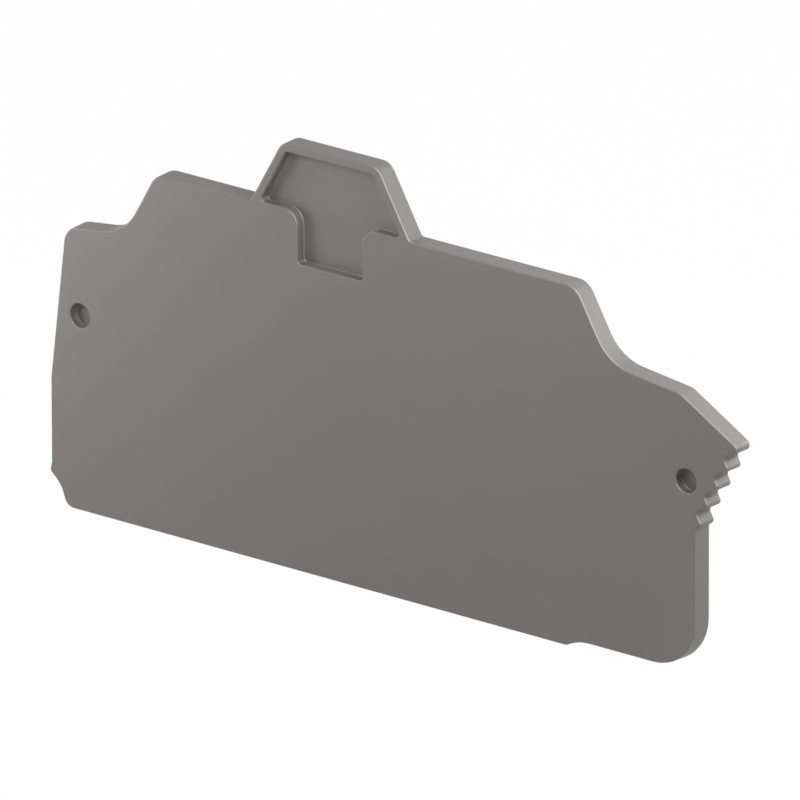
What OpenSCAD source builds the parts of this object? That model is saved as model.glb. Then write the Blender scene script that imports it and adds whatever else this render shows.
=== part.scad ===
// End cover for a row of terminal blocks: one flat moulded plate with a stepped outline,
// a recessed marker tab on top, a serrated corner, two blind sockets in the outer face
// and two locating pegs on the inner face.
// The plate stands upright: X along it, Z up, Y through its thickness. The origin is on
// the inner face, at the axis of the left peg. The outer face looks towards -Y.

/* [Plate] */
// Thickness of the plate
plate_t = 2.2; // [1.8:0.1:4]
// Distance from the upright left edge to the right leg
body_w = 83.3; // [70:0.1:120]
// Height of the plateau above the bottom edge
body_h = 38.45; // [34:0.05:50]
// Radius of the main outer corners
corner_r = 2.2; // [0.6:0.1:3]
// Rounding of the long edges of both faces
edge_r = 0.2; // [0.1:0.05:0.25]
// Draft of the side wall, which makes the outer face the smaller one
draft = 2; // [0:0.5:3]

/* [Plateau and shoulders] */
// Distance from the left edge to the left end of the plateau
plateau_x = 13.95; // [12:0.05:20]
// Distance from the right end of the plateau to the right leg
plateau_in = 15.25; // [13:0.05:20]
// Height of the plateau above the feet of its two rises
rise_h = 7.2; // [5:0.1:10]
// Angle of the rises and of the tab's flanks above the horizontal
rise_angle = 60; // [50:1:70]
// Radius at the feet of the rises
rise_foot_r = 5.5; // [3:0.1:8]
// Lean of the left edge, and fall of both shoulders, in degrees
lean = 7; // [2:0.5:12]
// Height of the upright part of the left edge
left_wall_h = 13.6; // [8:0.1:20]
// Length of the right shoulder
right_shoulder_w = 9.1; // [8:0.1:11]
// Fall of the slope from the right shoulder to the tip, in degrees
slope_angle = 30; // [25:1:35]

/* [Serrated corner] */
// Reach of the tip past the right leg, before it is rounded
tip_out = 5.7; // [5:0.1:7]
// Number of teeth below the tip
tooth_count = 4; // [2:1:4]
// Fall of each tooth's underside towards the plate, in degrees
tooth_angle = 30; // [20:1:35]
// Length of the tip's underside
tip_under = 2.55; // [2.2:0.05:3]
// Length of each tooth's upper flank
tooth_flank = 1.3; // [1.2:0.05:1.6]
// Length of each tooth's underside
tooth_under = 2.2; // [1.8:0.05:2.4]
// Reach of the lowest tooth past the right leg, before it is rounded
last_tooth_out = 0.75; // [0.6:0.05:1.2]
// Radius of the tip
tip_r = 0.58; // [0.4:0.02:0.7]
// Radius of the teeth's crests
crest_r = 0.45; // [0.4:0.05:0.5]
// Radius of the notches between the teeth
notch_r = 0.4; // [0.2:0.05:0.5]

/* [Bottom edge] */
// Distance from the step in the bottom edge to the right leg
step_in = 16.6; // [12:0.1:40]
// Height of the step
step_h = 0.8; // [0.4:0.1:1.5]
// Angle of the step's ramp
step_angle = 25; // [15:1:45]
// Radius of the bottom right corner and of the step's upper end
heel_r = 5.5; // [3:0.1:6]
// Distance that the bottom edge is set in from the left edge
toe_in = 2; // [1.5:0.1:3]
// Height of the bend in the bottom left corner
toe_bend_h = 2.25; // [2:0.05:3]
// Angle of the corner below the bend
toe_angle = 70; // [65:1:75]
// Radius of the bottom left corner
toe_r = 1.3; // [0.6:0.1:1.5]
// Height of the foot of the nub at the top of that corner
nub_h = 3.4; // [3.3:0.05:4]
// Reach of the nub past the left edge
nub_out = 0.15; // [0.1:0.05:0.4]

/* [Marker tab] */
// Distance from the left edge to the middle of the tab
tab_x = 36.55; // [32:0.05:42]
// Width of the tab at its top
tab_w = 12.45; // [10:0.05:16]
// Height of the tab above the plateau
tab_h = 7; // [5:0.1:9]
// Radius of the tab's top corners
tab_r = 1.7; // [0.6:0.1:2.5]
// Width of the rim around the recess
rim_w = 1; // [0.8:0.05:1.5]
// Depth of the recess
recess_depth = 1.1; // [0.6:0.1:1.4]
// Width of the recess's stem
stem_w = 8.4; // [6:0.1:10]
// Length of the stem below the plateau
stem_h = 5.6; // [3:0.1:8]
// Radius where the stem runs into the wide part
stem_shoulder_r = 1.7; // [0.8:0.1:2.2]
// Radius of the recess's other corners
recess_r = 0.4; // [0.3:0.05:0.6]

/* [Sockets and pegs] */
// Distance from the left edge to the left socket
socket_x = 4; // [3.5:0.1:5]
// Distance from the right socket to the right leg
socket_in = 1.3; // [1.3:0.1:5]
// Height of both sockets above the bottom edge
socket_h = 21; // [15:0.1:25]
// Bore of the sockets
socket_d = 2.6; // [2:0.1:3.2]
// Depth of the sockets
socket_depth = 1.1; // [0.8:0.1:1.4]
// Rounding of the sockets' rims and of the recess's rim
rim_r = 0.15; // [0.05:0.05:0.2]
// Clearance between a peg and the socket that it fits, on the radius
peg_clear = 0.05; // [0.02:0.01:0.15]
// Length of the pegs
peg_l = 2; // [1:0.1:4]
// Chamfer on the tips of the pegs
peg_chamfer = 0.3; // [0.1:0.05:0.5]

/* [Hidden] */
$fn = 64;

// Most degrees of an arc that one straight piece spans
arc_step = 9;
// Straight pieces in a rounded edge
edge_steps = 3;
// Radius below which no corner shrinks when an outline is set in
least_r = 0.02;
// Most of an edge that the fillets at its ends may take up
fillet_share = 0.95;
// How far a cut reaches past the face that it opens
cut_over = 0.05;
// Width of the skin that a cut takes off around an outline
skin = 0.1;
// Radius of the small bends: beside the nub, at the step, and where the tab meets the plateau
small_r = 0.45;
// Radius of the bend in the bottom left corner
toe_bend_r = 3;
// Height of the nub, and of its taper back to the left edge
nub_flat = 0.5;
nub_taper = 0.55;

plateau_end = body_w - plateau_in;
step_x = body_w - step_in;
socket_span = body_w - socket_in - socket_x;
draft_inset = plate_t * tan(draft);
rise_run = rise_h / tan(rise_angle);
shoulder_h = body_h - rise_h;
peg_r = socket_d / 2 - peg_clear;

// Plane geometry, as seen on the outer face: [x, z] from the foot of the left edge

function unit(v) = v / norm(v);
function left_of(v) = [-v[1], v[0]];
function heading(a) = [cos(a), sin(a)];

// Point where the line through p at angle a meets the line through q at angle b
function meet(p, a, q, b) =
    p + heading(a) * cross(q - p, heading(b)) / cross(heading(a), heading(b));

// Arc of radius r that rounds a corner, where an edge of direction u turns by an angle
function corner_arc(at, u, turn, r) =
    let (
        side = sign(turn),
        centre = at - u * r * tan(abs(turn) / 2) + side * r * left_of(u),
        out = -side * left_of(u),
        start = atan2(out[1], out[0]),
        pieces = ceil(abs(turn) / arc_step - 0.01)
    )
    [for (i = [0 : pieces]) centre + r * heading(start + turn * i / pieces)];

// An outline is a list of corners, anticlockwise, each as [point, radius]

// Directions of the edges that lead to the corners
function edges(corners) = [
    for (i = [0 : len(corners) - 1])
        corners[i][0] - corners[(i + len(corners) - 1) % len(corners)][0]
];

function turn_between(u, w) = atan2(cross(u, w), u * w);

// The same outline, with each radius limited by the edges beside it
function fitted(corners) =
    let (
        count = len(corners),
        edge = edges(corners),
        reach = [
            for (i = [0 : count - 1])
                corners[i][1] * tan(abs(turn_between(edge[i], edge[(i + 1) % count])) / 2)
        ]
    )
    [
        for (i = [0 : count - 1])
            let (
                after = (i + 1) % count,
                room_before = norm(edge[i]) / (reach[i] + reach[(i + count - 1) % count]),
                room_after = norm(edge[after]) / (reach[i] + reach[after])
            )
            [corners[i][0], corners[i][1] * min(1, fillet_share * min(room_before, room_after))]
    ];

// An outline with all of its corners rounded, and all of its edges set in by a distance
function ring(corners, inset) =
    let (edge = edges(corners), count = len(corners))
    [
        for (i = [0 : count - 1])
            let (
                u = unit(edge[i]),
                w = unit(edge[(i + 1) % count]),
                turn = turn_between(u, w),
                at = corners[i][0] + inset * left_of(u + w) / (1 + u * w),
                r = max(corners[i][1] - sign(turn) * inset, least_r)
            )
            each corner_arc(at, u, turn, r)
    ];

// Corner points of the plate

toe = [toe_in, 0];
toe_bend = toe + heading(180 - toe_angle) * toe_bend_h / sin(toe_angle);
nub_foot = [-nub_out, nub_h];
step_foot = [step_x, 0];
step_head = [step_x + step_h / tan(step_angle), step_h];
heel = [body_w, step_h];

left_foot = [plateau_x - rise_run, shoulder_h];
right_foot = [plateau_end + rise_run, shoulder_h];
left_bend = [0, left_wall_h];
left_corner = meet(left_bend, 90 - lean, left_foot, lean);
right_corner = right_foot + right_shoulder_w * [1, -tan(lean)];

tip = meet(right_corner, -slope_angle, [body_w + tip_out, 0], 90);
flank_dir = heading(tooth_angle - 90);
under_dir = heading(tooth_angle + 180);
first_notch = tip + tip_under * under_dir;
first_crest = first_notch + tooth_flank * flank_dir;
tooth_pitch = tooth_flank * flank_dir + tooth_under * under_dir;
last_crest = [
    body_w + last_tooth_out,
    first_crest[1] + (tooth_count - 1) * tooth_pitch[1]
];
crests = [
    for (i = [0 : tooth_count - 2]) first_crest + i * tooth_pitch,
    last_crest
];
notches = [
    first_notch,
    for (i = [1 : tooth_count - 1])
        meet(crests[i - 1], tooth_angle, crests[i], tooth_angle - 90)
];
leg_top = meet(last_crest, tooth_angle, heel, 90);

tab_flank = tab_h / tan(rise_angle);
tab_top = body_h + tab_h;

plate_corners = fitted([
    [toe, toe_r],
    [step_foot, small_r],
    [step_head, heel_r],
    [heel, heel_r],
    [leg_top, notch_r],
    for (i = [tooth_count - 1 : -1 : 0]) each [[crests[i], crest_r], [notches[i], notch_r]],
    [tip, tip_r],
    [right_corner, corner_r],
    [right_foot, rise_foot_r],
    [[plateau_end, body_h], corner_r],
    [[tab_x + tab_w / 2 + tab_flank, body_h], small_r],
    [[tab_x + tab_w / 2, tab_top], tab_r],
    [[tab_x - tab_w / 2, tab_top], tab_r],
    [[tab_x - tab_w / 2 - tab_flank, body_h], small_r],
    [[plateau_x, body_h], corner_r],
    [left_foot, rise_foot_r],
    [left_corner, corner_r],
    [left_bend, corner_r],
    [[0, nub_h + nub_flat + nub_taper], small_r],
    [[-nub_out, nub_h + nub_flat], small_r],
    [nub_foot, small_r],
    [toe_bend, toe_bend_r]
]);

// Corner points of the recess: the tab's shape inside its rim, with a stem below

flank_in = rim_w / sin(rise_angle);
top_in = tab_top - rim_w;
top_half = tab_w / 2 + rim_w / tan(rise_angle) - flank_in;
foot_half = tab_w / 2 + tab_flank - flank_in;

recess_corners = fitted([
    [[tab_x - stem_w / 2, body_h - stem_h], recess_r],
    [[tab_x + stem_w / 2, body_h - stem_h], recess_r],
    [[tab_x + stem_w / 2, body_h], stem_shoulder_r],
    [[tab_x + foot_half, body_h], recess_r],
    [[tab_x + top_half, top_in], recess_r],
    [[tab_x - top_half, top_in], recess_r],
    [[tab_x - foot_half, body_h], recess_r],
    [[tab_x - stem_w / 2, body_h], stem_shoulder_r]
]);

// Section of a wall as [inset, y]: how far the outline is set in at each depth.
// A quarter round runs from a face to the wall below it, and its first slant goes on
// past the face, so that a cut crosses the face cleanly.

slant_over = cut_over / tan(45 / edge_steps);

function quarter(r) = [
    [r + slant_over, -cut_over],
    for (i = [1 : edge_steps])
        let (a = 90 * i / edge_steps)
        r * [1 - sin(a), 1 - cos(a)]
];

function reversed(list) = [for (i = [len(list) - 1 : -1 : 0]) list[i]];

plate_section = [
    for (q = quarter(edge_r)) [draft_inset + q[0], q[1] - plate_t],
    for (q = reversed(quarter(edge_r))) [q[0], -q[1]]
];

recess_section = [
    for (q = quarter(rim_r)) [-q[0], q[1] - plate_t],
    for (q = reversed(quarter(rim_r))) [q[0], recess_depth - plate_t - q[1]]
];

// An outline filled from one depth to another
module slab(corners, inset, from, to) {
    translate([-socket_x, to, -socket_h])
        rotate([90, 0, 0])
            linear_extrude(height = to - from)
                polygon(ring(corners, inset));
}

// What lies outside a section, all around an outline
module trim(corners, section, outset) {
    loop = [
        each reversed(section),
        [-outset, section[0][1]],
        [-outset, section[len(section) - 1][1]]
    ];
    rings = [for (s = loop) ring(corners, s[0])];
    m = len(loop);
    n = len(rings[0]);
    polyhedron(
        points = [
            for (k = [0 : m - 1])
                for (p = rings[k])
                    [p[0] - socket_x, loop[k][1], p[1] - socket_h]
        ],
        faces = [
            for (k = [0 : m - 1])
                for (i = [0 : n - 1])
                    let (j = (i + 1) % n, next = (k + 1) % m)
                    [k * n + i, k * n + j, next * n + j, next * n + i]
        ],
        convexity = 10
    );
}

// A solid whose outline changes with the depth by a section
module swept(corners, section, from, to) {
    outset = skin - min([for (s = section) s[0]]);
    difference() {
        slab(corners, -outset, from, to);
        trim(corners, section, outset + skin);
    }
}

module at_pegs() {
    for (x = [0, socket_span])
        translate([x, 0, 0])
            rotate([-90, 0, 0])
                children();
}

// Blind round socket with a rounded rim, opening in the outer face
module socket() {
    bore_r = socket_d / 2;
    floor_y = socket_depth - plate_t;
    rotate_extrude()
        polygon([
            [0, -plate_t - cut_over],
            for (q = quarter(rim_r)) [bore_r + q[0], q[1] - plate_t],
            [bore_r, floor_y - rim_r],
            [bore_r - rim_r, floor_y],
            [0, floor_y]
        ]);
}

// Round peg with a chamfered tip, rooted in the inner face
module peg() {
    rotate_extrude()
        polygon([
            [0, -plate_t / 4],
            [peg_r, -plate_t / 4],
            [peg_r, peg_l - peg_chamfer],
            [peg_r - peg_chamfer, peg_l],
            [0, peg_l]
        ]);
}

module end_cover() {
    color([0.51, 0.49, 0.485])
        union() {
            difference() {
                swept(plate_corners, plate_section, -plate_t, 0);
                swept(recess_corners, recess_section, -plate_t - cut_over / 2, recess_depth - plate_t);
                at_pegs() socket();
            }
            at_pegs() peg();
        }
}

end_cover();
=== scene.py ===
"""Looks of a terminal block end cover: one moulded plate of satin grey plastic.

The CAD node keeps its shape. It gets clean shading normals and a procedural plastic,
a pale floor, soft studio light and the photograph's camera.
"""

import math

import bpy
from mathutils import Matrix, Vector


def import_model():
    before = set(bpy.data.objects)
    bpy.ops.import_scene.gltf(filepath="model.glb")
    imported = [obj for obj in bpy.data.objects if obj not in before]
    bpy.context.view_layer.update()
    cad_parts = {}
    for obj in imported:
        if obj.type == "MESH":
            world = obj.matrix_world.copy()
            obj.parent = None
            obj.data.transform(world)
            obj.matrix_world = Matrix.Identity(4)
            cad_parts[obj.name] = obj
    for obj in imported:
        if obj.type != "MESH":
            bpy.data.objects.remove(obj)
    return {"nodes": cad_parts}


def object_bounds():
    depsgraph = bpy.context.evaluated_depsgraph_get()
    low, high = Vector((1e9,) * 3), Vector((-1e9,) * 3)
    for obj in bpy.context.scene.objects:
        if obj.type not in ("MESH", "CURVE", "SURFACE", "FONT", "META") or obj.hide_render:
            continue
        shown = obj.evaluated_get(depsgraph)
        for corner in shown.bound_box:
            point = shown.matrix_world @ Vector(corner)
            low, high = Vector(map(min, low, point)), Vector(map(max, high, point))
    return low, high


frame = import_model()
cad_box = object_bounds()
scene = bpy.context.scene
scene.view_settings.view_transform = "Standard"

MM = 0.001
WHITE = (1, 1, 1, 1)


def srgb(*rgb):
    """Linear colour from 0-255 screen values."""
    def linear(c):
        c /= 255
        return c / 12.92 if c <= 0.04045 else ((c + 0.055) / 1.055) ** 2.4
    return (*[linear(c) for c in rgb], 1)


class Tree:
    """A node tree with short ways to add and join nodes."""

    def __init__(self, owner):
        owner.use_nodes = True
        self.tree = owner.node_tree
        self.tree.nodes.clear()

    def add(self, kind, inputs=None, **props):
        """A new node, whose inputs are plain values or outputs of other nodes."""
        node = self.tree.nodes.new(kind)
        for key, value in props.items():
            setattr(node, key, value)
        for key, value in (inputs or {}).items():
            if isinstance(value, bpy.types.NodeSocket):
                self.tree.links.new(value, node.inputs[key])
            else:
                node.inputs[key].default_value = value
        return node

    def math(self, operation, *values):
        return self.add("ShaderNodeMath", dict(enumerate(values)), operation=operation).outputs[0]

    def mix(self, factor, a, b, blend="MIX"):
        """Colour a where the factor is 0, and b where it is 1."""
        inputs = {0: factor, 6: a, 7: b}
        return self.add("ShaderNodeMix", inputs, data_type="RGBA", blend_type=blend).outputs[2]


# Shading normals: flat faces shade as flat, and the fillets between them as round

WELD_DISTANCE = 0.001 * MM
COPLANAR_ANGLE = math.radians(0.3)
SMOOTH_ANGLE = math.radians(50)


def smooth_by_angle(limit):
    """Geometry nodes that shade smooth across the edges with an angle below the limit."""
    group = bpy.data.node_groups.new("smooth_by_angle", "GeometryNodeTree")
    group.interface.new_socket("Geometry", in_out="INPUT", socket_type="NodeSocketGeometry")
    group.interface.new_socket("Geometry", in_out="OUTPUT", socket_type="NodeSocketGeometry")
    add, link = group.nodes.new, group.links.new
    source, sink = add("NodeGroupInput"), add("NodeGroupOutput")
    angle = add("GeometryNodeInputMeshEdgeAngle")
    below = add("FunctionNodeCompare")
    below.data_type, below.operation = "FLOAT", "LESS_THAN"
    below.inputs[1].default_value = limit
    faces, edges = add("GeometryNodeSetShadeSmooth"), add("GeometryNodeSetShadeSmooth")
    faces.domain, edges.domain = "FACE", "EDGE"
    link(source.outputs[0], faces.inputs["Geometry"])
    link(faces.outputs[0], edges.inputs["Geometry"])
    link(angle.outputs["Unsigned Angle"], below.inputs[0])
    link(below.outputs[0], edges.inputs["Shade Smooth"])
    link(edges.outputs[0], sink.inputs[0])
    return group


cover = frame["nodes"]["end_cover"]
weld = cover.modifiers.new("weld", "WELD")
weld.merge_threshold = WELD_DISTANCE
planar = cover.modifiers.new("planar", "DECIMATE")
planar.decimate_type = "DISSOLVE"
planar.angle_limit = COPLANAR_ANGLE
smooth = cover.modifiers.new("smooth", "NODES")
smooth.node_group = smooth_by_angle(SMOOTH_ANGLE)
weighted = cover.modifiers.new("weighted", "WEIGHTED_NORMAL")
weighted.mode = "FACE_AREA"
weighted.weight = 100
weighted.keep_sharp = True


# Satin moulded plastic, with a painted highlight: a little paler on the rounded edges that face
# up and to the right

TONES = srgb(128.5, 123, 122), srgb(131.5, 127, 126)
# Painted highlight: the paler tone of the rounded edges on the side where the light falls
PAINTED_HIGHLIGHT_TONE = srgb(198, 193, 191)
PAINTED_HIGHLIGHT_SIDE = (0.77, 0, 0.64)
PAINTED_HIGHLIGHT_GAIN = 2.6
PAINTED_HIGHLIGHT_SHARPNESS = 3
SPECK_SHARE = 0.035
ROUGHNESS = 0.42, 0.56
GRAIN_DEPTH = 0.02 * MM
GRAIN_STRENGTH = 0.12


def plastic():
    mat = bpy.data.materials.new("satin_plastic")
    t = Tree(mat)
    coords = t.add("ShaderNodeTexCoord").outputs
    place, normal = coords["Object"], coords["Normal"]

    def noise(scale, detail, roughness):
        inputs = {"Vector": place, "Scale": scale, "Detail": detail, "Roughness": roughness}
        return t.add("ShaderNodeTexNoise", inputs).outputs

    cloud = noise(70, 3, 0.5)
    speck = noise(5200, 2, 0.6)
    grain = noise(9000, 3, 0.55)

    # The painted highlight is 0 on the faces and the walls, and high on the rounded edges between
    # them that face up and to the right
    towards_face = t.math("ABSOLUTE", t.add("ShaderNodeSeparateXYZ", {0: normal}).outputs["Y"])
    facing = t.add("ShaderNodeVectorMath", {0: normal, 1: PAINTED_HIGHLIGHT_SIDE}, operation="DOT_PRODUCT")
    facing = t.math("MAXIMUM", facing.outputs["Value"], 0)
    painted_highlight = t.math("MULTIPLY", towards_face, t.math("MULTIPLY", facing, facing))
    painted_highlight = t.math("POWER", t.math("MULTIPLY", painted_highlight, PAINTED_HIGHLIGHT_GAIN), PAINTED_HIGHLIGHT_SHARPNESS)

    # The painted highlight goes over the plastic's own cloudy tone
    tone = t.mix(painted_highlight, t.mix(cloud["Fac"], *TONES), PAINTED_HIGHLIGHT_TONE)
    colour = t.mix(SPECK_SHARE, tone, speck["Color"], "OVERLAY")
    rough = t.add("ShaderNodeMapRange", {
        "Value": speck["Fac"],
        "To Min": ROUGHNESS[0],
        "To Max": ROUGHNESS[1],
    })
    bump = t.add("ShaderNodeBump", {
        "Height": grain["Fac"],
        "Strength": GRAIN_STRENGTH,
        "Distance": GRAIN_DEPTH,
    })
    shader = t.add("ShaderNodeBsdfPrincipled", {
        "Base Color": colour,
        "Roughness": rough.outputs["Result"],
        "Normal": bump.outputs["Normal"],
        "IOR": 1.5,
    })
    t.add("ShaderNodeOutputMaterial", {"Surface": shader.outputs["BSDF"]})
    return mat


cover.data.materials.clear()
cover.data.materials.append(plastic())


# Camera: a long lens, at the photograph's angle and framing

AZIMUTH, ELEVATION, ROLL = map(math.radians, (39.0, 19.89, -0.167))
DISTANCE = 2550 * MM
VIEW_WIDTH = 80 * MM
SENSOR_WIDTH = 36
TARGET = Vector((41.556, -2.2, 0.3585)) * MM

back = Vector((
    math.sin(AZIMUTH) * math.cos(ELEVATION),
    -math.cos(AZIMUTH) * math.cos(ELEVATION),
    math.sin(ELEVATION),
))
right = Vector((math.cos(AZIMUTH), math.sin(AZIMUTH), 0))
up = back.cross(right)
right, up = (
    right * math.cos(ROLL) + up * math.sin(ROLL),
    up * math.cos(ROLL) - right * math.sin(ROLL),
)

lens = bpy.data.cameras.new("camera")
lens.sensor_width = SENSOR_WIDTH
lens.lens = SENSOR_WIDTH * DISTANCE / VIEW_WIDTH
lens.clip_start, lens.clip_end = 0.1, 20
camera = bpy.data.objects.new("camera", lens)
scene.collection.objects.link(camera)
axes = Matrix((right, up, back)).transposed().to_4x4()
camera.matrix_world = Matrix.Translation(TARGET + back * DISTANCE) @ axes
scene.camera = camera


# Floor and background

FLOOR_Z = cad_box[0].z
FLOOR_REACH = 6
FLOOR_COLOUR = (0.8, 0.8, 0.8, 1)
FLOOR_WHITE_SHARE = 0.98


def background_rays(t):
    """1 for the rays that show the white background, 0 for those that light the object."""
    path = t.add("ShaderNodeLightPath").outputs
    mirrored = t.math("MAXIMUM", path["Is Glossy Ray"], path["Is Transmission Ray"])
    return t.math("MAXIMUM", path["Is Camera Ray"], mirrored)


def floor():
    mesh = bpy.data.meshes.new("floor")
    r = FLOOR_REACH
    mesh.from_pydata([(-r, -r, 0), (r, -r, 0), (r, r, 0), (-r, r, 0)], [], [(0, 1, 2, 3)])
    obj = bpy.data.objects.new("floor", mesh)
    obj.location.z = FLOOR_Z
    scene.collection.objects.link(obj)
    mat = bpy.data.materials.new("pale_floor")
    t = Tree(mat)
    share = t.math("MULTIPLY", background_rays(t), FLOOR_WHITE_SHARE)
    matt = t.add("ShaderNodeBsdfDiffuse", {"Color": FLOOR_COLOUR})
    glow = t.add("ShaderNodeEmission", {"Color": WHITE, "Strength": 1})
    mix = t.add("ShaderNodeMixShader", {0: share, 1: matt.outputs[0], 2: glow.outputs[0]})
    t.add("ShaderNodeOutputMaterial", {"Surface": mix.outputs[0]})
    mesh.materials.append(mat)


def world():
    studio = bpy.data.worlds.new("studio")
    t = Tree(studio)
    white = t.add("ShaderNodeBackground", {"Color": WHITE, "Strength": background_rays(t)})
    t.add("ShaderNodeOutputWorld", {"Surface": white.outputs[0]})
    scene.world = studio


floor()
world()


# Lamps: place and size in millimetres, power in watts

PLATE_MIDDLE = Vector((40, 0, 0))
NEUTRAL = (1, 1, 1)
COOL = (0.955, 1, 0.99)


def softbox(name, place, size, power, colour=NEUTRAL):
    """A round soft lamp, turned to the middle of the plate."""
    lamp = bpy.data.lights.new(name, "AREA")
    lamp.shape = "DISK"
    lamp.size = size * MM
    lamp.energy = power
    lamp.color = colour
    obj = bpy.data.objects.new(name, lamp)
    obj.location = Vector(place) * MM
    obj.rotation_mode = "QUATERNION"
    obj.rotation_quaternion = (PLATE_MIDDLE - Vector(place)).to_track_quat("-Z", "Y")
    obj.visible_camera = False
    scene.collection.objects.link(obj)


softbox("front_low", (68, -157, 58), 60, 0.0125)
softbox("front_top", (60, -60, 65), 40, 0.0242)
softbox("left", (-105, -84, 30), 60, 0.0375)
softbox("left_near", (-25, -36, 12), 20, 0.0067)
softbox("left_edge", (-60, -20, 10), 20, 0.0150)
softbox("left_top", (-20, -20, 75), 20, 0.0067)
softbox("far", (1540, 866, 1000), 500, 4.9, COOL)
softbox("back", (193, 265, 257), 140, 0.213, COOL)
softbox("back_fill", (40, 1500, 100), 500, 5.0)
softbox("tip_top", (100, -12, 90), 20, 0.0255, COOL)
softbox("tip_right", (130, -8, 52), 20, 0.0210, COOL)
softbox("leg", (97, 42, 24), 20, 0.0090, COOL)
softbox("nose", (99, 12, 8), 10, 0.0013, COOL)
